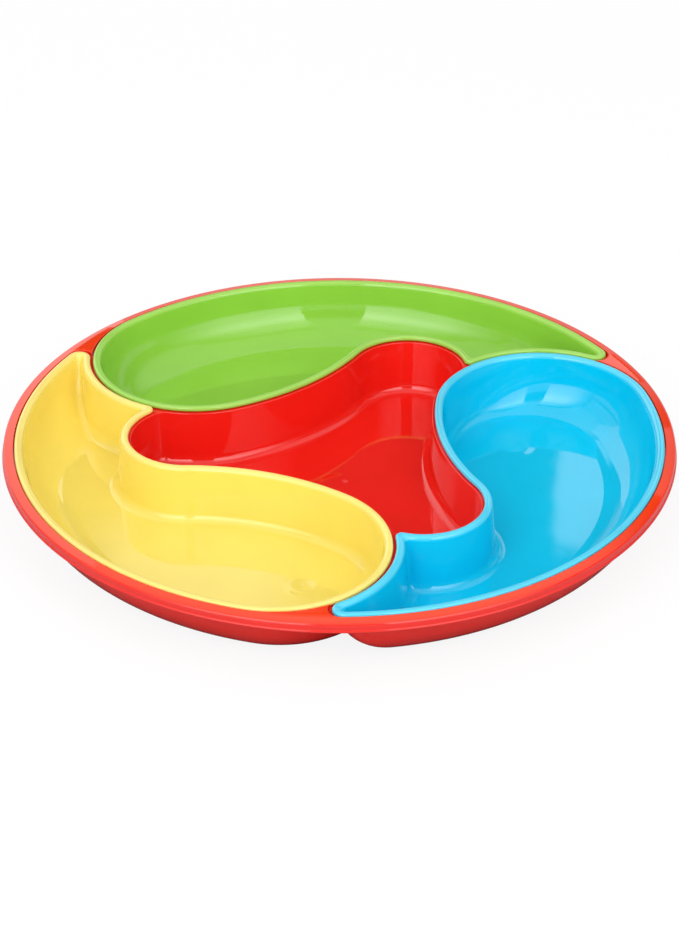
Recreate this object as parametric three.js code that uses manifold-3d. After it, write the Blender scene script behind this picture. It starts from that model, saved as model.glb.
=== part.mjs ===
// Party snack tray: a round moulded tray with three comma-shaped pockets around a three-lobed centre well,
// and three loose comma-shaped bowls, one in each pocket, that lift straight out.
// Millimetres, +Z up. The origin is on the tray's axis, in the plane that the tray stands on.
import * as THREE from 'three';
import { mergeVertices } from 'three/addons/utils/BufferGeometryUtils.js';
import Module from 'manifold-3d';

const wasm = await Module();
wasm.setup();

// Plan of the tray and of one bowl, seen from above
const TRAY_RADIUS = 160;
const FLANGE_WIDTH = 5.8; // tray edge to the bowls' outer edge
const HEAD_RADIUS = 52.4; // round end of the comma
const HEAD_ANGLE = 133; // degrees, direction of the first bowl's head from the tray's axis
const NECK_WIDTH = 53.7; // bowl's outer edge to the hollow where a bay of the well reaches into the bowl
const NECK_TURN = 48.63; // degrees about the tray's axis from the next bowl's head to that hollow
const BAY_OVERLAP = 5.5; // how far the hollow's circle reaches over the next bowl's head circle
const BELLY_BULGE = 22.2; // degrees that the long edge from the head to the neck bulges at the head
const TAIL_GAP = 2.8; // end of a tail to the head of the next bowl
const TIP_RADIUS = 5.6; // rounded end of the tail, at the rim
const CORNER_RADIUS = 3; // corner between the tail's end and the neck, at the rim
const CREASE_RADIUS = 2; // least rounding of the tip and the corner, inside the bowl

// Bowl
const BOWL_DEPTH = 27.5;
const BOWL_WALL = 2;
const RIM_WIDTH = 3.8;
const LIP_HEIGHT = 2.2; // turned-out lip under the rim
const RIM_EDGE = 0.6; // bevel on the edges of the rim
const OUTER_LEAN = 11; // degrees from upright, wall along the tray's edge
const OUTER_FILLET = 23; // that wall into the floor
const INNER_LEAN = 4; // degrees from upright, walls along the well and at the tail's end
const INNER_FILLET = 5;

// Tray
const TRAY_WALL = 2;
const POCKET_CLEARANCE = 0.5; // around and under a bowl in its pocket
const TAIL_CLEARANCE = 1.2; // past the end of a bowl's tail, on the ledge
const SEAT_GAP = 0.3; // bowl's lip over the ledge that it hangs on
const FLANGE_DROP = 0.5; // flange below the bowls' rims
const FLANGE_FALL = 0.8; // outer edge of the flange below its inner edge
const SKIRT_HEIGHT = 4.6; // turned-down edge of the flange
const SKIRT_ROUND = 1.5;
const PARTITION_REVEAL = 1.3; // strip of tray that shows between a bowl's lip and the well
const WELL_LEAN = 2; // degrees from upright
const WELL_FILLET = 5;
const WELL_CORNER_RADIUS = 6;

// Fineness of the curved surfaces
const OUTLINE_STEPS = { outer: 20, tip: 4, end: 8, corner: 3, neck: 10, belly: 8, head: 12 };
const WELL_STEPS = { bay: 10, corner: 3, head: 3, belly: 6 };
const FILLET_STEPS = 5;
const TRAY_SEGMENTS = 72;
const SKIRT_STEPS = 3;
const CUT_MARGIN = 2; // how far a cutting solid runs past the face that it opens

const RED = { color: 0xea3527, roughness: 0.22, metalness: 0 };
const GREEN = { color: 0x95cf4b, roughness: 0.24, metalness: 0 };
const YELLOW = { color: 0xfae163, roughness: 0.24, metalness: 0 };
const BLUE = { color: 0x18caf3, roughness: 0.22, metalness: 0 };

// Heights
const bowlFloor = TRAY_WALL + POCKET_CLEARANCE + BOWL_WALL;
const rimTop = bowlFloor + BOWL_DEPTH;
const lipBottom = rimTop - LIP_HEIGHT;
const ledge = lipBottom - SEAT_GAP;
const flangeTop = rimTop - FLANGE_DROP;
const edgeTop = flangeTop - FLANGE_FALL;

// Circles that the outlines are made of
const thirdTurn = (2 * Math.PI) / 3;
const axis = new THREE.Vector2(0, 0);
const bowlRadius = TRAY_RADIUS - FLANGE_WIDTH;
const head = polar(bowlRadius - HEAD_RADIUS, HEAD_ANGLE);
const nextHead = head.clone().rotateAround(axis, -thirdTurn);
const neckWay = nextHead.clone().normalize().rotateAround(axis, THREE.MathUtils.degToRad(NECK_TURN));
const hollow = neckWay.clone().multiplyScalar(bowlRadius - NECK_WIDTH);
const rimNeckRadius = touchingRadius(hollow, neckWay, nextHead, HEAD_RADIUS - BAY_OVERLAP);
const neck = hollow.clone().addScaledVector(neckWay, -rimNeckRadius);
const bellyWay = leavingDirection();
const leaving = head.clone().addScaledVector(bellyWay, HEAD_RADIUS);
const rimBellyRadius = touchingRadius(leaving, bellyWay, neck, rimNeckRadius);
const belly = leaving.clone().addScaledVector(bellyWay, -rimBellyRadius);
const nextBelly = belly.clone().rotateAround(axis, -thirdTurn);

function polar(radius, degrees) {
  const angle = THREE.MathUtils.degToRad(degrees);
  return new THREE.Vector2(radius * Math.cos(angle), radius * Math.sin(angle));
}

// The point at the given distances from a and from b, on the left (side 1) or right (side -1) of a to b
function meetingPoint(a, distanceA, b, distanceB, side) {
  const gap = a.distanceTo(b);
  const along = (distanceA ** 2 - distanceB ** 2 + gap ** 2) / (2 * gap);
  const across = side * Math.sqrt(distanceA ** 2 - along ** 2);
  const forward = b.clone().sub(a).divideScalar(gap);
  return new THREE.Vector2(
    a.x + along * forward.x - across * forward.y,
    a.y + along * forward.y + across * forward.x,
  );
}

// Radius of the circle through a point, its centre behind the point, that touches another from outside
function touchingRadius(point, outward, centre, radius) {
  const way = direction(centre, point);
  return (way.lengthSq() - radius ** 2) / (2 * (way.dot(outward) + radius));
}

// Direction from the head's centre to where its long edge leaves it, past where a straight edge would
function leavingDirection() {
  const span = direction(head, neck);
  const straight = Math.acos((HEAD_RADIUS + rimNeckRadius) / span.length());
  return span.normalize().rotateAround(axis, -straight - THREE.MathUtils.degToRad(BELLY_BULGE));
}

// Points of an arc about a centre, from one direction to another, without the last point
function arc(centre, radius, from, to, clockwise, steps) {
  const curve = new THREE.ArcCurve(centre.x, centre.y, radius, from.angle(), to.angle(), clockwise);
  return curve.getPoints(steps).slice(0, -1);
}

function direction(from, to) {
  return to.clone().sub(from);
}

// Outline of the first bowl, clockwise from above, with its edges moved in by a distance of their own:
// outer along the tray's edge, inner along the well, end at the end of the tail. The tip and the corner
// are never sharper than the crease.
function bowlOutline({ outer, inner, end, crease }) {
  const outerRadius = bowlRadius - outer;
  const endRadius = HEAD_RADIUS + TAIL_GAP + end;
  const neckRadius = rimNeckRadius + inner;
  const bellyRadius = rimBellyRadius - inner;
  const headRadius = HEAD_RADIUS - (outer + inner) / 2;
  const tipRadius = Math.max(TIP_RADIUS - Math.max(outer, end), crease);
  const cornerRadius = Math.max(CORNER_RADIUS - end, crease);
  const tip = meetingPoint(axis, outerRadius - tipRadius, nextHead, endRadius + tipRadius, 1);
  const corner = meetingPoint(nextHead, endRadius + cornerRadius, neck, neckRadius + cornerRadius, -1);
  const headHere = meetingPoint(axis, outerRadius - headRadius, belly, bellyRadius - headRadius, 1);
  const steps = OUTLINE_STEPS;
  return [
    ...arc(axis, outerRadius, headHere, tip, true, steps.outer),
    ...arc(tip, tipRadius, tip, direction(tip, nextHead), true, steps.tip),
    ...arc(nextHead, endRadius, direction(nextHead, tip), direction(nextHead, corner), false, steps.end),
    ...arc(corner, cornerRadius, direction(corner, nextHead), direction(corner, neck), true, steps.corner),
    ...arc(neck, neckRadius, direction(neck, corner), direction(neck, belly), false, steps.neck),
    ...arc(belly, bellyRadius, direction(belly, neck), direction(belly, headHere), true, steps.belly),
    ...arc(headHere, headRadius, direction(belly, headHere), headHere, true, steps.head),
  ];
}

// Outline of the well, clockwise from above, at a distance from the bowls' outer edges
function wellOutline(distance) {
  const bayRadius = rimNeckRadius - distance;
  const headRadius = HEAD_RADIUS + distance;
  const bellyRadius = rimBellyRadius + distance;
  const round = WELL_CORNER_RADIUS;
  const corner = meetingPoint(neck, bayRadius - round, nextHead, headRadius + round, 1);
  const touch = direction(nextBelly, nextHead);
  const lastTouch = direction(belly, neck).rotateAround(axis, -thirdTurn);
  const steps = WELL_STEPS;
  const third = [
    ...arc(neck, bayRadius, direction(neck, belly), direction(neck, corner), true, steps.bay),
    ...arc(corner, round, direction(neck, corner), direction(corner, nextHead), true, steps.corner),
    ...arc(nextHead, headRadius, direction(nextHead, corner), touch, false, steps.head),
    ...arc(nextBelly, bellyRadius, touch, lastTouch, false, steps.belly),
  ];
  const turns = [0, -thirdTurn, -2 * thirdTurn];
  return turns.flatMap((turn) => third.map((point) => point.clone().rotateAround(axis, turn)));
}

// Horizontal distance from the start of the flat floor out to a leaning wall, at a height over the floor
function wallRun(height, leanDegrees, fillet) {
  const lean = THREE.MathUtils.degToRad(leanDegrees);
  const filletHeight = fillet * (1 - Math.sin(lean));
  if (height < filletHeight) {
    return Math.sqrt(fillet ** 2 - (fillet - height) ** 2);
  }
  return fillet * Math.cos(lean) + (height - filletHeight) * Math.tan(lean);
}

// Insets of a surface that lies a distance outside the bowl's inner surface, at a height
function bowlInsets(z, outside) {
  const height = Math.max(z - (bowlFloor - outside), 0);
  const inset = (lean, fillet) => {
    const floorInset = RIM_WIDTH + wallRun(BOWL_DEPTH, lean, fillet);
    return floorInset - wallRun(height, lean, fillet + outside);
  };
  const inner = inset(INNER_LEAN, INNER_FILLET);
  return { outer: inset(OUTER_LEAN, OUTER_FILLET), inner, end: inner, crease: CREASE_RADIUS + outside };
}

function evenInsets(inset) {
  return { outer: inset, inner: inset, end: inset, crease: CREASE_RADIUS };
}

// Distance of the well's wall from the bowls' edges, for a surface a distance outside the well, at a height
function wellDistance(z, outside) {
  const height = Math.max(z - (TRAY_WALL - outside), 0);
  const floorDistance = PARTITION_REVEAL + wallRun(ledge - TRAY_WALL, WELL_LEAN, WELL_FILLET);
  return floorDistance - wallRun(height, WELL_LEAN, WELL_FILLET + outside);
}

// Heights over a floor at which a wall's fillet is cut into rings, closer together near the floor
function filletHeights(leanDegrees, fillet) {
  const filletHeight = fillet * (1 - Math.sin(THREE.MathUtils.degToRad(leanDegrees)));
  const steps = Array.from({ length: FILLET_STEPS + 1 }, (_, step) => step / FILLET_STEPS);
  return steps.map((share) => filletHeight * (1 - Math.cos((share * Math.PI) / 2)));
}


function ring(outline, z) {
  return outline.map((point) => new THREE.Vector3(point.x, point.y, z));
}

// Ring at a height of a surface that lies a distance outside the bowl's inner surface
function wallRing(z, outside) {
  return ring(bowlOutline(bowlInsets(z, outside)), z);
}

// Rings of the same surface from its floor to the top of the fillet
function filletRings(outside) {
  const floor = bowlFloor - outside;
  return filletHeights(OUTER_LEAN, OUTER_FILLET + outside).map((height) => wallRing(floor + height, outside));
}

// Closed solid through rings of equal count, clockwise from above, with a flat cap on the first and the last
function loft(rings) {
  const count = rings[0].length;
  const positions = rings.flat().flatMap((point) => [point.x, point.y, point.z]);
  const faces = [];
  for (let level = 0; level < rings.length - 1; level += 1) {
    for (let step = 0; step < count; step += 1) {
      const a = level * count + step;
      const b = level * count + ((step + 1) % count);
      faces.push(a, b, b + count, a, b + count, a + count);
    }
  }
  const lastStart = (rings.length - 1) * count;
  for (const [a, b, c] of capTriangles(rings[0])) {
    faces.push(a, b, c);
  }
  for (const [a, b, c] of capTriangles(rings[rings.length - 1])) {
    faces.push(lastStart + a, lastStart + c, lastStart + b);
  }
  const geometry = new THREE.BufferGeometry();
  geometry.setAttribute('position', new THREE.Float32BufferAttribute(positions, 3));
  geometry.setIndex(faces);
  return geometry;
}

// Triangles that fill a ring, counter-clockwise from above
function capTriangles(points) {
  const contour = points.map((point) => new THREE.Vector2(point.x, point.y));
  return THREE.ShapeUtils.triangulateShape(contour, []).map(([a, b, c]) => {
    const area = direction(contour[a], contour[b]).cross(direction(contour[a], contour[c]));
    return area > 0 ? [a, b, c] : [a, c, b];
  });
}

// One bowl: up the inside from the floor, over the rim, round the lip and down the outside
function bowlGeometry() {
  return loft([
    ...filletRings(0),
    wallRing(rimTop - RIM_EDGE, 0),
    ring(bowlOutline(evenInsets(RIM_WIDTH - RIM_EDGE)), rimTop),
    ring(bowlOutline(evenInsets(RIM_EDGE)), rimTop),
    ring(bowlOutline(evenInsets(0)), rimTop - RIM_EDGE),
    ring(bowlOutline(evenInsets(0)), lipBottom),
    wallRing(lipBottom, BOWL_WALL),
    ...filletRings(BOWL_WALL).reverse(),
  ]);
}

// Solid under a surface that lies a distance outside a bowl's inner surface, up to a height
function pocketSolid(outside, top) {
  return loft([wallRing(top, outside), ...filletRings(outside).reverse()]);
}

// Solid under a surface that lies a distance outside the well, up to a height
function wellSolid(outside, top) {
  const floor = TRAY_WALL - outside;
  const heights = filletHeights(WELL_LEAN, WELL_FILLET + outside).map((height) => floor + height);
  const levels = [top, ...heights.reverse()];
  return loft(levels.map((z) => ring(wellOutline(wellDistance(z, outside)), z)));
}

// Cut that drops the tray to the ledge under a bowl's lip, along the partition and behind the end of the tail
function rebateSolid() {
  const outline = bowlOutline({
    outer: -POCKET_CLEARANCE,
    inner: -PARTITION_REVEAL - CUT_MARGIN,
    end: -TAIL_CLEARANCE,
    crease: CREASE_RADIUS,
  });
  return loft([ring(outline, rimTop + CUT_MARGIN), ring(outline, ledge)]);
}

// Flat top of the tray, with the flange and its turned-down skirt
function topPlate() {
  const skirtInside = TRAY_RADIUS - TRAY_WALL;
  const plateEdge = bowlRadius + POCKET_CLEARANCE + TRAY_WALL;
  const profile = [
    new THREE.Vector2(0, ledge - TRAY_WALL),
    new THREE.Vector2(plateEdge, ledge - TRAY_WALL),
    new THREE.Vector2(plateEdge, edgeTop - TRAY_WALL),
    new THREE.Vector2(skirtInside, edgeTop - TRAY_WALL),
    new THREE.Vector2(skirtInside, edgeTop - SKIRT_HEIGHT),
    new THREE.Vector2(TRAY_RADIUS, edgeTop - SKIRT_HEIGHT),
  ];
  const round = new THREE.ArcCurve(
    TRAY_RADIUS - SKIRT_ROUND, edgeTop - SKIRT_ROUND, SKIRT_ROUND, 0, Math.PI / 2, false,
  );
  profile.push(
    ...round.getPoints(SKIRT_STEPS),
    new THREE.Vector2(bowlRadius, flangeTop),
    new THREE.Vector2(0, flangeTop),
  );
  return new THREE.LatheGeometry(profile, TRAY_SEGMENTS).rotateX(Math.PI / 2);
}

// A closed geometry as a solid that can be joined and cut
function solid(geometry) {
  const bare = geometry.clone();
  bare.deleteAttribute('normal');
  bare.deleteAttribute('uv');
  const merged = mergeVertices(bare);
  return new wasm.Manifold(new wasm.Mesh({
    numProp: 3,
    vertProperties: new Float32Array(merged.getAttribute('position').array),
    triVerts: new Uint32Array(merged.getIndex().array),
  }));
}

function geometryOf(manifold) {
  const { vertProperties, triVerts } = manifold.getMesh();
  const geometry = new THREE.BufferGeometry();
  geometry.setAttribute('position', new THREE.Float32BufferAttribute(vertProperties, 3));
  geometry.setIndex(Array.from(triVerts));
  return geometry;
}

// The tray: plate, pocket shells and well shell joined, then the ledges, pockets and well cut out
function trayGeometry() {
  const shellTop = ledge - TRAY_WALL / 2;
  const cutTop = rimTop + CUT_MARGIN;
  const cavityOutside = BOWL_WALL + POCKET_CLEARANCE;
  const turns = [0, thirdTurn, -thirdTurn];
  const turned = (geometry) => turns.map((turn) => solid(geometry.clone().rotateZ(turn)));
  let tray = solid(topPlate()).add(solid(wellSolid(TRAY_WALL, shellTop)));
  for (const shell of turned(pocketSolid(cavityOutside + TRAY_WALL, shellTop))) {
    tray = tray.add(shell);
  }
  const cuts = [
    ...turned(rebateSolid()),
    ...turned(pocketSolid(cavityOutside, ledge + SEAT_GAP)),
    solid(wellSolid(0, cutTop)),
  ];
  for (const cut of cuts) {
    tray = tray.subtract(cut);
  }
  return geometryOf(tray);
}

function piece(name, geometry, finish, turn) {
  geometry.computeVertexNormals();
  const mesh = new THREE.Mesh(geometry, new THREE.MeshStandardMaterial(finish));
  mesh.name = name;
  mesh.rotation.z = turn;
  return mesh;
}

const snackTray = new THREE.Group();
snackTray.add(
  piece('serving_tray', trayGeometry(), RED, 0),
  piece('green_bowl', bowlGeometry(), GREEN, 0),
  piece('yellow_bowl', bowlGeometry(), YELLOW, thirdTurn),
  piece('blue_bowl', bowlGeometry(), BLUE, -thirdTurn),
);

export default snackTray;
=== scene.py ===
import cmath
import math

import bmesh
import bpy
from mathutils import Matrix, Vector


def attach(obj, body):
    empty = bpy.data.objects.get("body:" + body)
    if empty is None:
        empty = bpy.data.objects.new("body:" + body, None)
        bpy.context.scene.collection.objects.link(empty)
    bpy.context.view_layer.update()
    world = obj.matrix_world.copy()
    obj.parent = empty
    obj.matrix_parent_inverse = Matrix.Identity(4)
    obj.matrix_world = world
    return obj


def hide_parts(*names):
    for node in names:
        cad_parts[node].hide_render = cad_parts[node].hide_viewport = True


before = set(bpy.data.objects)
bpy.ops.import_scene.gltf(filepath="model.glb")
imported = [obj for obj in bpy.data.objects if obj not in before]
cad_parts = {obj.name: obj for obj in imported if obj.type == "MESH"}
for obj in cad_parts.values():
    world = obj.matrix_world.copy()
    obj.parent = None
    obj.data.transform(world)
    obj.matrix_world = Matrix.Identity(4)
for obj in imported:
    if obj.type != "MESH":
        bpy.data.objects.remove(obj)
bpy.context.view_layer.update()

# Sizes in millimetres. A point of the plan is a complex number, x to the right and y to the back.
MILLIMETRE = 0.001
THIRD = math.tau / 3

TRAY_RADIUS = 160
FLANGE_WIDTH = 5.8
BOWL_RADIUS = TRAY_RADIUS - FLANGE_WIDTH

# Plan of one bowl
HEAD_RADIUS = 52.4
HEAD_ANGLE = 133.8
NECK_WIDTH = 53.7
NECK_TURN = 47.83
BAY_OVERLAP = 5.5
BELLY_BULGE = 22.2
TAIL_GAP = 1.4
TIP_RADIUS = 5.6
CORNER_RADIUS = 3
CREASE_RADIUS = 2

# Section of one bowl
BOWL_DEPTH = 27.5
BOWL_WALL = 2
RIM_WIDTH = 3.8
RIM_ROUND = 2
LIP_HEIGHT = 2.2
LIP_ROUND = 1.2
OUTER_LEAN = math.radians(11)
OUTER_FILLET = 23
INNER_LEAN = math.radians(4)
INNER_FILLET = 5

# Section of the tray
TRAY_WALL = 2
POCKET_CLEARANCE = 0.5
TAIL_CLEARANCE = 1.2
SEAT_GAP = 0.3
FLANGE_DROP = 0.5
FLANGE_FALL = 0.8
SKIRT_HEIGHT = 4.6
SKIRT_ROUND = 1.3
HEM_BEAD = 0.7
HEM_STEP = 0.5
PARTITION_REVEAL = 1.3
WELL_LEAN = math.radians(2)
WELL_FILLET = 5
WELL_CORNER_RADIUS = 6
EDGE_ROUND = 0.4
CUT_MARGIN = 2

# Heights
BOWL_FLOOR = TRAY_WALL + POCKET_CLEARANCE + BOWL_WALL
RIM_TOP = BOWL_FLOOR + BOWL_DEPTH
LIP_BOTTOM = RIM_TOP - LIP_HEIGHT
LEDGE = LIP_BOTTOM - SEAT_GAP
FLANGE_TOP = RIM_TOP - FLANGE_DROP
EDGE_TOP = FLANGE_TOP - FLANGE_FALL

# Fineness of the curves, with the least height that a wall's rings stay below its top
OUTLINE_STEPS = {"outer": 90, "tip": 12, "end": 44, "corner": 10, "neck": 48, "belly": 36, "head": 60}
WELL_STEPS = {"bay": 48, "corner": 10, "head": 12, "belly": 24}
FILLET_STEPS = 14
ROUND_STEPS = 5
BEAD_STEPS = 10
TRAY_SEGMENTS = 288
RING_MARGIN = 1.2
LEVEL_DIGITS = 3
SMOOTH_ANGLE = math.radians(32)

# Colours as red, green and blue from 0 to 255
RED = (236, 34, 24)
GREEN = (146, 206, 68)
YELLOW = (246, 224, 104)
BLUE = (8, 198, 234)
# The four colours below are a painted highlight: they make the rims and the top of the flange paler, in
# place of light mirrored on them
RED_RIM_HIGHLIGHT = (244, 62, 14)
GREEN_RIM_HIGHLIGHT = (160, 214, 88)
YELLOW_RIM_HIGHLIGHT = (249, 228, 122)
BLUE_RIM_HIGHLIGHT = (84, 210, 240)

# The bowls, each a third of a turn after the one before it, with the colours of their walls and of the
# painted highlight on their rims
BOWLS = {"green": (GREEN, GREEN_RIM_HIGHLIGHT), "yellow": (YELLOW, YELLOW_RIM_HIGHLIGHT), "blue": (BLUE, BLUE_RIM_HIGHLIGHT)}

# In millimetres: where the green bowl's plastic entered the mould, and how far under the rim's top the
# painted highlight is full
BOWL_GATE = -70 + 59j
RIM_HIGHLIGHT_DROP = 0.8

# Radii and height of the low ring that the mould leaves round that place, in metres
GATE_INSIDE = 0.0015
GATE_RING = 0.006
GATE_OUTSIDE = 0.0105
GATE_HEIGHT = 0.00012

# Noises in the plastic as scale and detail, and the range that most values of a noise lie in
CLOUDS = (26, 3)
HAZE = (90, 4)
WAVES = (45, 1)
GRAIN = (900, 2)
NOISE_LOW = 0.3
NOISE_HIGH = 0.7

# What the noises do to the plastic: shades, roughness, and heights in metres
CLOUD_DARK = 0.96
CLOUD_PALE = 1.03
SMOOTHEST = 0.02
ROUGHEST = 0.05
WAVE_HEIGHT = 0.00004
GRAIN_HEIGHT = 0.000004
REFRACTION = 1.58

# Camera in metres and degrees, with its lens and sensor in millimetres
CAMERA_AIM = (0, -0.0080, 0.0190)
CAMERA_DISTANCE = 1.3105
CAMERA_DOWN = 31.5
CAMERA_LENS = 107.16
CAMERA_SENSOR = 36

# Floor in metres: each course runs between two distances from the tray's axis and has two levels
FLOOR_REACH = 12
FLOOR_GLOW = 0.88
# The first course is a painted shadow: the grey table darkens under and near the object. By the second,
# reflections near the object show that table, not the white
TABLE_PAINTED_SHADOW = (0.13, 0.175, 0.06, 0.5)
TABLE_CLEAR = (0.15, 0.3, 0, 1)
SQUARE = ((-1, -1), (1, -1), (1, 1), (-1, 1))

# Levels along a lit sheet or up the sky, each at its share of the way
EVEN = {0: 1, 1: 1}
DIM = {0: 0.5, 1: 0.5}
DIM_END = {0: 1, 0.3: 1, 0.55: 0.4, 1: 0.4}
SOFT_ENDS = {0: 0, 0.3: 0.9, 0.7: 0.9, 1: 0}
SOFT_FOOT = {0: 0, 0.4: 0.9, 1: 1}
SOFTBOX_ACROSS = {0: 1, 0.45: 0.85, 1: 0.12}
SOFTBOX_UPWARDS = {0: 0.3, 0.12: 0.6, 0.3: 1, 0.5: 0.5, 1: 0.05}
SKY_LEVELS = {0: 0.8, 0.28: 0.7, 0.42: 0.07, 0.58: 0.07, 0.76: 0.92, 1: 0.92}

# Soft lights in metres, each with the bearings of its inner and outer edge in degrees and its glow
SOFTBOX_DISTANCE = 1.3
SOFTBOX_FOOT = 0.05
SOFTBOX_TOP = 3.4
SOFTBOXES = {"softbox_right": (15, 75, 4.0), "softbox_left": (-10, -70, 4.5)}

# Screens in metres, each with two bearings in degrees, two heights, and levels across and upwards
SCREEN_DISTANCE = 1.7
SCREEN_GLOW = 1.38
SCREENS = {
    "screen_right": (171.2, 140, 0.75, 1.145, DIM_END, EVEN),
    "screen_left": (-167, -130, 0.15, 1.75, EVEN, EVEN),
    "screen_side": (-130, -72, 0.75, 1.45, DIM, EVEN),
    "screen_back": (-168, -180, 1.06, 1.35, SOFT_ENDS, SOFT_FOOT),
}


def turned(point, angle):
    return point * cmath.exp(1j * angle)


def unit(point):
    return point / abs(point)


def dot(a, b):
    return (a.conjugate() * b).real


def touching_radius(point, outward, centre, radius):
    """Radius of a circle through the point, its centre behind it, that touches the other from outside."""
    way = point - centre
    return (abs(way) ** 2 - radius ** 2) / (2 * (dot(way, outward) + radius))


def meeting_point(a, distance_a, b, distance_b, side):
    """Point at the two distances from a and b; side 1 lies to the left of the way from a to b."""
    span = abs(b - a)
    along = (distance_a ** 2 - distance_b ** 2 + span ** 2) / (2 * span)
    across = math.sqrt(distance_a ** 2 - along ** 2)
    return a + unit(b - a) * complex(along, side * across)


def arc(centre, radius, start, end, clockwise, steps):
    """Points of an arc between two directions, without the last one."""
    sweep = cmath.phase(end / start) % math.tau
    if clockwise:
        sweep -= math.tau
    return [centre + turned(unit(start) * radius, sweep * i / steps) for i in range(steps)]


# Centres of the plan's arcs: the next bowl's head bounds this bowl's tail
AXIS = 0j
HEAD = cmath.rect(BOWL_RADIUS - HEAD_RADIUS, math.radians(HEAD_ANGLE))
NEXT_HEAD = turned(HEAD, -THIRD)
NECK_WAY = turned(unit(NEXT_HEAD), math.radians(NECK_TURN))
HOLLOW = NECK_WAY * (BOWL_RADIUS - NECK_WIDTH)
NECK_RADIUS = touching_radius(HOLLOW, NECK_WAY, NEXT_HEAD, HEAD_RADIUS - BAY_OVERLAP)
NECK = HOLLOW - NECK_WAY * NECK_RADIUS
STRAIGHT_TURN = math.acos((HEAD_RADIUS + NECK_RADIUS) / abs(NECK - HEAD))
BELLY_WAY = turned(unit(NECK - HEAD), -STRAIGHT_TURN - math.radians(BELLY_BULGE))
LEAVING = HEAD + BELLY_WAY * HEAD_RADIUS
BELLY_RADIUS = touching_radius(LEAVING, BELLY_WAY, NECK, NECK_RADIUS)
BELLY = LEAVING - BELLY_WAY * BELLY_RADIUS
NEXT_BELLY = turned(BELLY, -THIRD)


def bowl_outline(outer, inner, end, crease=CREASE_RADIUS):
    """The bowl's outline, drawn in by different amounts at its outer, inner and tail edges."""
    outer_radius = BOWL_RADIUS - outer
    end_radius = HEAD_RADIUS + TAIL_GAP + end
    neck_radius = NECK_RADIUS + inner
    belly_radius = BELLY_RADIUS - inner
    head_radius = HEAD_RADIUS - (outer + inner) / 2
    tip_radius = max(TIP_RADIUS - max(outer, end), crease)
    corner_radius = max(CORNER_RADIUS - end, crease)
    tip = meeting_point(AXIS, outer_radius - tip_radius, NEXT_HEAD, end_radius + tip_radius, 1)
    corner = meeting_point(NEXT_HEAD, end_radius + corner_radius, NECK, neck_radius + corner_radius, -1)
    head = meeting_point(AXIS, outer_radius - head_radius, BELLY, belly_radius - head_radius, 1)
    steps = OUTLINE_STEPS
    points = arc(AXIS, outer_radius, head, tip, True, steps["outer"])
    points += arc(tip, tip_radius, tip, NEXT_HEAD - tip, True, steps["tip"])
    points += arc(NEXT_HEAD, end_radius, tip - NEXT_HEAD, corner - NEXT_HEAD, False, steps["end"])
    points += arc(corner, corner_radius, NEXT_HEAD - corner, NECK - corner, True, steps["corner"])
    points += arc(NECK, neck_radius, corner - NECK, BELLY - NECK, False, steps["neck"])
    points += arc(BELLY, belly_radius, NECK - BELLY, head - BELLY, True, steps["belly"])
    points += arc(head, head_radius, head - BELLY, head, True, steps["head"])
    return points


def well_outline(distance):
    """The well's outline, the given distance away from the rims of the bowls."""
    bay_radius = NECK_RADIUS - distance
    head_radius = HEAD_RADIUS + distance
    round_radius = WELL_CORNER_RADIUS
    corner = meeting_point(NECK, bay_radius - round_radius, NEXT_HEAD, head_radius + round_radius, 1)
    side = arc(NECK, bay_radius, BELLY - NECK, corner - NECK, True, WELL_STEPS["bay"])
    side += arc(corner, round_radius, corner - NECK, NEXT_HEAD - corner, True, WELL_STEPS["corner"])
    leaving = NEXT_HEAD - NEXT_BELLY
    arriving = turned(NECK - BELLY, -THIRD)
    side += arc(NEXT_HEAD, head_radius, corner - NEXT_HEAD, leaving, False, WELL_STEPS["head"])
    side += arc(NEXT_BELLY, BELLY_RADIUS + distance, leaving, arriving, False, WELL_STEPS["belly"])
    return [turned(point, -THIRD * i) for i in range(3) for point in side]


def circle(radius):
    return [cmath.rect(radius, -math.tau * i / TRAY_SEGMENTS) for i in range(TRAY_SEGMENTS)]


def wall_run(height, lean, fillet):
    """How far a leaning wall with a rounded foot has moved outwards at a height above its floor."""
    foot = fillet * (1 - math.sin(lean))
    if height < foot:
        return math.sqrt(fillet ** 2 - (fillet - height) ** 2)
    return fillet * math.cos(lean) + (height - foot) * math.tan(lean)


def bowl_insets(z, outside):
    """Insets from the rim's outline at a height, for the bowl's inside or a surface further out."""
    height = max(z - (BOWL_FLOOR - outside), 0)

    def inset(lean, fillet):
        return RIM_WIDTH + wall_run(BOWL_DEPTH, lean, fillet) - wall_run(height, lean, fillet + outside)

    inner = inset(INNER_LEAN, INNER_FILLET)
    return {
        "outer": inset(OUTER_LEAN, OUTER_FILLET),
        "inner": inner,
        "end": inner,
        "crease": CREASE_RADIUS + outside,
    }


def well_distance(z, outside):
    """How far from the bowls' rims the well's wall is at a height, or a surface outside that wall."""
    height = max(z - (TRAY_WALL - outside), 0)
    top = wall_run(LEDGE - TRAY_WALL, WELL_LEAN, WELL_FILLET)
    return PARTITION_REVEAL + top - wall_run(height, WELL_LEAN, WELL_FILLET + outside)


def fillet_heights(lean, fillet):
    """Heights above the floor at even angles round a wall's foot."""
    quarter = math.pi / 2 - lean
    return [fillet * (1 - math.cos(quarter * i / FILLET_STEPS)) for i in range(FILLET_STEPS + 1)]


def round_steps():
    """Sine and cosine along a quarter circle."""
    angles = [math.pi / 2 * i / ROUND_STEPS for i in range(ROUND_STEPS + 1)]
    return [(math.sin(angle), math.cos(angle)) for angle in angles]


def wall_ring(z, outside):
    return bowl_outline(**bowl_insets(z, outside)), z


def even_ring(inset, z):
    return bowl_outline(inset, inset, inset), z


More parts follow.
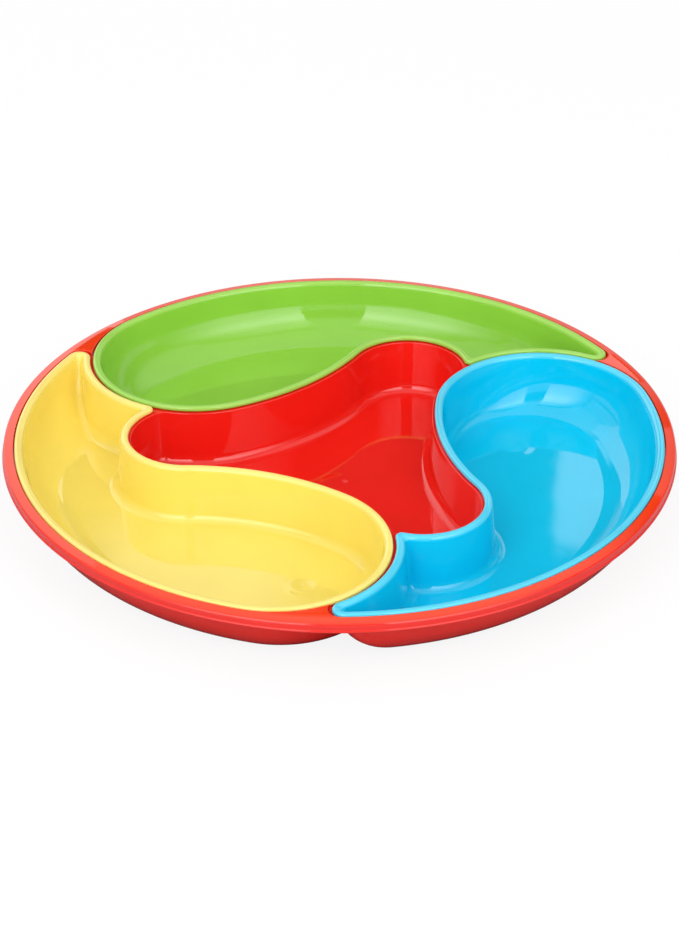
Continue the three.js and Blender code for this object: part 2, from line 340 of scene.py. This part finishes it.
def wall_rings(outside, top):
    """Rings of a bowl's wall from its floor up to a height."""
    floor = BOWL_FLOOR - outside
    heights = fillet_heights(INNER_LEAN, INNER_FILLET + outside)
    heights += fillet_heights(OUTER_LEAN, OUTER_FILLET + outside)
    levels = sorted({round(floor + height, LEVEL_DIGITS) for height in heights})
    return [wall_ring(z, outside) for z in levels if z < top - RING_MARGIN] + [wall_ring(top, outside)]


def rim_rings():
    """Rings over the rounded rim, from the bowl's inside to the underside of its lip."""
    rings = [
        even_ring(RIM_WIDTH - RIM_ROUND * (1 - cosine), RIM_TOP - RIM_ROUND * (1 - sine))
        for sine, cosine in round_steps()
    ]
    rings += [
        even_ring(LIP_ROUND * (1 - sine), RIM_TOP - LIP_ROUND * (1 - cosine))
        for sine, cosine in round_steps()
    ]
    rings.append(even_ring(0, LIP_BOTTOM + EDGE_ROUND))
    rings.append(even_ring(EDGE_ROUND, LIP_BOTTOM))
    return rings


def loft(rings):
    """A closed mesh through rings of points, with a flat face over the first and the last."""
    mesh = bmesh.new()
    rows = []
    for outline, z in rings:
        points = [Vector((point.real, point.imag, z)) * MILLIMETRE for point in outline]
        rows.append([mesh.verts.new(point) for point in points])
    for low, high in zip(rows, rows[1:]):
        for i in range(len(low)):
            mesh.faces.new((low[i - 1], low[i], high[i], high[i - 1]))
    mesh.faces.new(rows[0])
    mesh.faces.new(reversed(rows[-1]))
    bmesh.ops.recalc_face_normals(mesh, faces=mesh.faces)
    return mesh


def solid(name, rings, turn=0):
    """An object from lofted rings, turned about the tray's axis."""
    mesh = loft([([turned(point, turn) for point in outline], z) for outline, z in rings])
    data = bpy.data.meshes.new(name)
    mesh.to_mesh(data)
    mesh.free()
    thing = bpy.data.objects.new(name, data)
    bpy.context.scene.collection.objects.link(thing)
    return thing


def smoothed(thing):
    """Smooth shading in which the large flat faces stay flat."""
    thing.data.shade_smooth()
    thing.data.set_sharp_from_angle(angle=SMOOTH_ANGLE)
    weights = thing.modifiers.new("flat_faces", "WEIGHTED_NORMAL")
    weights.keep_sharp = True
    return thing


def combine(base, operation, tools):
    """Join the tools to the base or cut them from it, and drop them."""
    for tool in tools:
        step = base.modifiers.new(tool.name, "BOOLEAN")
        step.operation = operation
        step.solver = "MANIFOLD"
        step.object = tool
    shape = base.evaluated_get(bpy.context.evaluated_depsgraph_get())
    result = bpy.data.meshes.new_from_object(shape)
    base.modifiers.clear()
    base.data = result
    for tool in tools:
        bpy.data.objects.remove(tool)


def bowl(name, turn):
    """A bowl, from its inside over the rim to its outside."""
    outside = list(reversed(wall_rings(BOWL_WALL, LIP_BOTTOM)))
    inside = wall_rings(0, RIM_TOP - RIM_ROUND)
    return smoothed(solid(name, inside + rim_rings() + outside, turn))


def pocket(name, outside, top, turn):
    """A filled form of a bowl, grown outwards from the bowl's inside."""
    return solid(name, wall_rings(outside, top), turn)


def well_rings(outside, top):
    floor = TRAY_WALL - outside
    levels = [floor + height for height in fillet_heights(WELL_LEAN, WELL_FILLET + outside)]
    return [(well_outline(well_distance(z, outside)), z) for z in levels + [top]]


def well_cutter():
    """The well's cavity, with a rounded edge along the top of its partition."""
    rings = well_rings(0, LEDGE - EDGE_ROUND)
    start = well_distance(LEDGE - EDGE_ROUND, 0)
    for sine, cosine in round_steps()[1:]:
        distance = start - EDGE_ROUND * (1 - cosine)
        rings.append((well_outline(distance), LEDGE - EDGE_ROUND * (1 - sine)))
    rings.append((well_outline(start - EDGE_ROUND), RIM_TOP + CUT_MARGIN))
    return solid("well_cutter", rings)


def rebate_cutter(name, turn):
    """Room for a bowl's rim above the ledge, with a rounded edge where it meets the flange."""
    def ring(grown, z):
        outer = -POCKET_CLEARANCE - grown
        inner = -PARTITION_REVEAL - CUT_MARGIN
        return bowl_outline(outer, inner, -TAIL_CLEARANCE - grown), z

    rings = [ring(0, LEDGE)]
    for sine, cosine in round_steps():
        rings.append(ring(EDGE_ROUND * (1 - cosine), FLANGE_TOP - EDGE_ROUND * (1 - sine)))
    rings.append(ring(EDGE_ROUND, RIM_TOP + CUT_MARGIN))
    return solid(name, rings, turn)


def top_plate():
    """The round plate with its falling flange, rounded edge and skirt."""
    plate_edge = BOWL_RADIUS - CUT_MARGIN
    skirt_inside = TRAY_RADIUS - TRAY_WALL
    hem = EDGE_TOP - SKIRT_HEIGHT
    section = [(plate_edge, LEDGE - TRAY_WALL), (skirt_inside, LEDGE - TRAY_WALL)]
    section.append((skirt_inside, hem))
    shoulder = math.acos(1 - HEM_STEP / HEM_BEAD)
    for i in range(BEAD_STEPS + 1):
        angle = (shoulder + math.pi / 2) * i / BEAD_STEPS - math.pi / 2
        across = TRAY_RADIUS - HEM_BEAD * (1 - math.cos(angle))
        section.append((across, hem + HEM_BEAD * (1 + math.sin(angle))))
    skirt = TRAY_RADIUS - HEM_STEP
    for sine, cosine in round_steps():
        section.append((skirt - SKIRT_ROUND * (1 - cosine), EDGE_TOP - SKIRT_ROUND * (1 - sine)))
    section.append((BOWL_RADIUS, FLANGE_TOP))
    return solid("tray_body", [(circle(radius), z) for radius, z in section])


def tray():
    """The plate joined to the shells of the well and pockets, then hollowed for well and bowls."""
    body = top_plate()
    turns = [THIRD * i for i in range(3)]
    shell = POCKET_CLEARANCE + BOWL_WALL
    shells = [pocket(f"shell_{i}", shell + TRAY_WALL, LEDGE, turn) for i, turn in enumerate(turns)]
    shells.append(solid("well_shell", well_rings(TRAY_WALL, LEDGE)))
    combine(body, "UNION", shells)
    cuts = [rebate_cutter(f"rebate_{i}", turn) for i, turn in enumerate(turns)]
    cuts += [pocket(f"cavity_{i}", shell, RIM_TOP, turn) for i, turn in enumerate(turns)]
    cuts.append(well_cutter())
    combine(body, "DIFFERENCE", cuts)
    return smoothed(body)


def linear(colour):
    """A colour from 0 to 255 as the linear values a shader takes, by the sRGB formula."""
    def channel(value):
        share = value / 255
        return share / 12.92 if share <= 0.04045 else ((share + 0.055) / 1.055) ** 2.4

    return tuple(channel(value) for value in colour) + (1,)


def shaded(colour, amount):
    return tuple(min(channel * amount, 1) for channel in colour[:3]) + (1,)


def noise(nodes, links, coordinates, scale, detail):
    texture = nodes.new("ShaderNodeTexNoise")
    texture.inputs["Scale"].default_value = scale
    texture.inputs["Detail"].default_value = detail
    links.new(coordinates, texture.inputs["Vector"])
    return texture.outputs["Fac"]


def ramp(nodes, links, value, low, high):
    """Two colours mixed by a texture's value."""
    colours = nodes.new("ShaderNodeValToRGB")
    colours.color_ramp.elements[0].position = NOISE_LOW
    colours.color_ramp.elements[0].color = low
    colours.color_ramp.elements[1].position = NOISE_HIGH
    colours.color_ramp.elements[1].color = high
    links.new(value, colours.inputs["Fac"])
    return colours.outputs["Color"]


def spread(nodes, links, value, low, high):
    """A texture's value spread over a range of numbers."""
    scaled = nodes.new("ShaderNodeMapRange")
    scaled.inputs["From Min"].default_value = NOISE_LOW
    scaled.inputs["From Max"].default_value = NOISE_HIGH
    scaled.inputs["To Min"].default_value = low
    scaled.inputs["To Max"].default_value = high
    links.new(value, scaled.inputs["Value"])
    return scaled.outputs["Result"]


def rise(nodes, links, value, course):
    """A soft rise between two values, from one level to another."""
    step = nodes.new("ShaderNodeMapRange")
    step.interpolation_type = "SMOOTHSTEP"
    for socket, number in zip(("From Min", "From Max", "To Min", "To Max"), course):
        step.inputs[socket].default_value = number
    links.new(value, step.inputs["Value"])
    return step.outputs["Result"]


def bump(nodes, links, height, distance, below=None):
    """A bump of a texture's height in metres, laid over another one."""
    relief = nodes.new("ShaderNodeBump")
    relief.inputs["Distance"].default_value = distance
    links.new(height, relief.inputs["Height"])
    if below:
        links.new(below, relief.inputs["Normal"])
    return relief.outputs["Normal"]


def gate_mark(nodes, links, place, gate):
    """One faint low ring round the point where the plastic entered the mould."""
    away = nodes.new("ShaderNodeVectorMath")
    away.operation = "DISTANCE"
    links.new(place, away.inputs[0])
    away.inputs[1].default_value = gate
    mark = nodes.new("ShaderNodeMath")
    mark.operation = "MULTIPLY"
    for slope, course in enumerate(((GATE_INSIDE, GATE_RING, 0, 1), (GATE_RING, GATE_OUTSIDE, 1, 0))):
        links.new(rise(nodes, links, away.outputs["Value"], course), mark.inputs[slope])
    return mark.outputs["Value"]


def painted_highlight_share(nodes, links, place):
    """Share of the painted highlight: nought below the rims and one at their tops."""
    height = nodes.new("ShaderNodeSeparateXYZ")
    links.new(place, height.inputs["Vector"])
    highlight_top = RIM_TOP - RIM_HIGHLIGHT_DROP
    return rise(nodes, links, height.outputs["Z"], (LIP_BOTTOM * MILLIMETRE, highlight_top * MILLIMETRE, 0, 1))


def plastic(name, colour, highlight_colour, gate):
    """Glossy moulded plastic: cloudy colour, a painted highlight that pales the rim, uneven gloss, waves,
    a gate mark and grain.
    """
    material = bpy.data.materials.new(name)
    material.use_nodes = True
    nodes = material.node_tree.nodes
    links = material.node_tree.links
    shader = nodes["Principled BSDF"]
    place = nodes.new("ShaderNodeTexCoord").outputs["Object"]
    clouds = noise(nodes, links, place, *CLOUDS)
    # Painted highlight: near the height of the rims, the tray's flange included, the colour turns paler
    painted_highlight = nodes.new("ShaderNodeMix")
    painted_highlight.data_type = "RGBA"
    links.new(painted_highlight_share(nodes, links, place), painted_highlight.inputs["Factor"])
    for tone, socket in ((linear(colour), "A_Color"), (linear(highlight_colour), "B_Color")):
        cloudy = ramp(nodes, links, clouds, shaded(tone, CLOUD_DARK), shaded(tone, CLOUD_PALE))
        links.new(cloudy, next(slot for slot in painted_highlight.inputs if slot.identifier == socket))
    links.new(painted_highlight.outputs["Result"], shader.inputs["Base Color"])
    haze = noise(nodes, links, place, *HAZE)
    links.new(spread(nodes, links, haze, SMOOTHEST, ROUGHEST), shader.inputs["Roughness"])
    waves = bump(nodes, links, noise(nodes, links, place, *WAVES), WAVE_HEIGHT)
    ring = bump(nodes, links, gate_mark(nodes, links, place, gate), GATE_HEIGHT, waves)
    grain = bump(nodes, links, noise(nodes, links, place, *GRAIN), GRAIN_HEIGHT, ring)
    links.new(grain, shader.inputs["Normal"])
    shader.inputs["IOR"].default_value = REFRACTION
    return material


def floor_white():
    """A white floor with a soft shadow. Near the object, reflections show a grey table instead, darkened
    under the object by a painted shadow.
    """
    material = bpy.data.materials.new("floor_white")
    material.use_nodes = True
    nodes = material.node_tree.nodes
    links = material.node_tree.links
    nodes.remove(nodes["Principled BSDF"])
    paper = nodes.new("ShaderNodeBsdfDiffuse")
    paper.inputs["Color"].default_value = (1, 1, 1, 1)
    glow = nodes.new("ShaderNodeEmission")
    shown = nodes.new("ShaderNodeMixShader")
    shown.inputs["Fac"].default_value = FLOOR_GLOW
    links.new(paper.outputs["BSDF"], shown.inputs[1])
    links.new(glow.outputs["Emission"], shown.inputs[2])
    shadowed_table = nodes.new("ShaderNodeBsdfDiffuse")
    away = nodes.new("ShaderNodeVectorMath")
    away.operation = "LENGTH"
    links.new(nodes.new("ShaderNodeTexCoord").outputs["Object"], away.inputs[0])
    # Painted shadow: the table's grey darkens towards the tray's axis
    links.new(rise(nodes, links, away.outputs["Value"], TABLE_PAINTED_SHADOW), shadowed_table.inputs["Color"])
    clear = rise(nodes, links, away.outputs["Value"], TABLE_CLEAR)
    ray = nodes.new("ShaderNodeLightPath")
    seen = ray.outputs["Is Camera Ray"]
    for kind in ("Is Glossy Ray", "Is Transmission Ray"):
        mirrored = nodes.new("ShaderNodeMath")
        mirrored.operation = "MULTIPLY"
        links.new(ray.outputs[kind], mirrored.inputs[0])
        links.new(clear, mirrored.inputs[1])
        either = nodes.new("ShaderNodeMath")
        either.operation = "MAXIMUM"
        links.new(seen, either.inputs[0])
        links.new(mirrored.outputs["Value"], either.inputs[1])
        seen = either.outputs["Value"]
    mixed = nodes.new("ShaderNodeMixShader")
    links.new(seen, mixed.inputs["Fac"])
    links.new(shadowed_table.outputs["BSDF"], mixed.inputs[1])
    links.new(shown.outputs["Shader"], mixed.inputs[2])
    links.new(mixed.outputs["Shader"], nodes["Material Output"].inputs["Surface"])
    return material


def floor():
    data = bpy.data.meshes.new("floor")
    corners = [(x * FLOOR_REACH, y * FLOOR_REACH, 0) for x, y in SQUARE]
    data.from_pydata(corners, [], [(0, 1, 2, 3)])
    plane = bpy.data.objects.new("floor", data)
    bpy.context.scene.collection.objects.link(plane)
    data.materials.append(floor_white())
    return plane


def upright(name, first, last, distance, low, high):
    """An upright sheet between two bearings, in degrees from the front towards the right."""
    def corner(bearing, z):
        angle = math.radians(bearing)
        return distance * math.sin(angle), -distance * math.cos(angle), z

    data = bpy.data.meshes.new(name)
    corners = [corner(first, low), corner(last, low), corner(last, high), corner(first, high)]
    data.from_pydata(corners, [], [(0, 1, 2, 3)])
    sheet = data.uv_layers.new(name="sheet")
    for loop, place in zip(sheet.data, ((0, 0), (1, 0), (1, 1), (0, 1))):
        loop.uv = place
    thing = bpy.data.objects.new(name, data)
    thing.visible_camera = False
    bpy.context.scene.collection.objects.link(thing)
    return thing


def profile(nodes, links, value, levels):
    """Smoothly joined levels along a value, across a lit sheet or up the sky."""
    curve = nodes.new("ShaderNodeValToRGB")
    curve.color_ramp.interpolation = "EASE"
    stops = curve.color_ramp.elements
    for stop, (position, level) in zip(stops, (min(levels.items()), max(levels.items()))):
        stop.position = position
        stop.color = (level, level, level, 1)
    for position, level in sorted(levels.items())[1:-1]:
        stops.new(position).color = (level, level, level, 1)
    links.new(value, curve.inputs["Fac"])
    return curve.outputs["Color"]


def lit_cloth(name, across, upwards, glow):
    """A glowing cloth, its levels across multiplied by its levels upwards."""
    material = bpy.data.materials.new(name)
    material.use_nodes = True
    nodes = material.node_tree.nodes
    links = material.node_tree.links
    nodes.remove(nodes["Principled BSDF"])
    place = nodes.new("ShaderNodeSeparateXYZ")
    links.new(nodes.new("ShaderNodeTexCoord").outputs["UV"], place.inputs["Vector"])
    both = nodes.new("ShaderNodeMath")
    both.operation = "MULTIPLY"
    links.new(profile(nodes, links, place.outputs["X"], across), both.inputs[0])
    links.new(profile(nodes, links, place.outputs["Y"], upwards), both.inputs[1])
    strength = nodes.new("ShaderNodeMapRange")
    strength.inputs["To Max"].default_value = glow
    links.new(both.outputs["Value"], strength.inputs["Value"])
    light = nodes.new("ShaderNodeEmission")
    links.new(strength.outputs["Result"], light.inputs["Strength"])
    links.new(light.outputs["Emission"], nodes["Material Output"].inputs["Surface"])
    return material


def softbox(name, inner, outer, glow):
    """A tall soft light beside the camera, brightest along its inner edge."""
    box = upright(name, inner, outer, SOFTBOX_DISTANCE, SOFTBOX_FOOT, SOFTBOX_TOP)
    box.data.materials.append(lit_cloth(name, SOFTBOX_ACROSS, SOFTBOX_UPWARDS, glow))
    return box


def screen(name, first, last, low, high, across, upwards):
    """A dim screen behind or beside the object, mirrored in its bowls and flange."""
    sheet = upright(name, first, last, SCREEN_DISTANCE, low, high)
    sheet.data.materials.append(lit_cloth(name, across, upwards, SCREEN_GLOW))
    return sheet


def sky():
    """A room that is dim around the camera's height, and bright overhead and along the horizon."""
    world = bpy.data.worlds.new("sky")
    world.use_nodes = True
    nodes = world.node_tree.nodes
    links = world.node_tree.links
    way = nodes.new("ShaderNodeSeparateXYZ")
    links.new(nodes.new("ShaderNodeTexCoord").outputs["Generated"], way.inputs["Vector"])
    links.new(profile(nodes, links, way.outputs["Z"], SKY_LEVELS), nodes["Background"].inputs["Color"])
    bpy.context.scene.world = world


def camera():
    lens = bpy.data.cameras.new("camera")
    lens.sensor_fit = "VERTICAL"
    lens.sensor_height = CAMERA_SENSOR
    lens.lens = CAMERA_LENS
    thing = bpy.data.objects.new("camera", lens)
    down = math.radians(CAMERA_DOWN)
    thing.location = Vector(CAMERA_AIM) + CAMERA_DISTANCE * Vector((0, -math.cos(down), math.sin(down)))
    thing.rotation_euler = (math.pi / 2 - down, 0, 0)
    bpy.context.scene.collection.objects.link(thing)
    bpy.context.scene.camera = thing


def add_piece(piece, body, node, slot, colours, gate, floor_height):
    """Give a piece its plastic, and let it ride on its body in place of its solid."""
    place = Vector((gate.real, gate.imag, floor_height)) * MILLIMETRE
    piece.data.materials.clear()
    piece.data.materials.append(plastic(slot, *colours, place))
    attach(piece, body)
    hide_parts(node)


add_piece(tray(), "tray", "serving_tray", "red_plastic", (RED, RED_RIM_HIGHLIGHT), AXIS, TRAY_WALL)
for i, (word, colours) in enumerate(BOWLS.items()):
    node = f"{word}_bowl"
    turn = THIRD * i
    piece = bowl(f"{node}_body", turn)
    add_piece(piece, node, node, f"{word}_plastic", colours, turned(BOWL_GATE, turn), BOWL_FLOOR)

floor()
for name, light in SOFTBOXES.items():
    softbox(name, *light)
for name, sheet in SCREENS.items():
    screen(name, *sheet)
sky()
camera()
bpy.context.scene.view_settings.view_transform = "Standard"
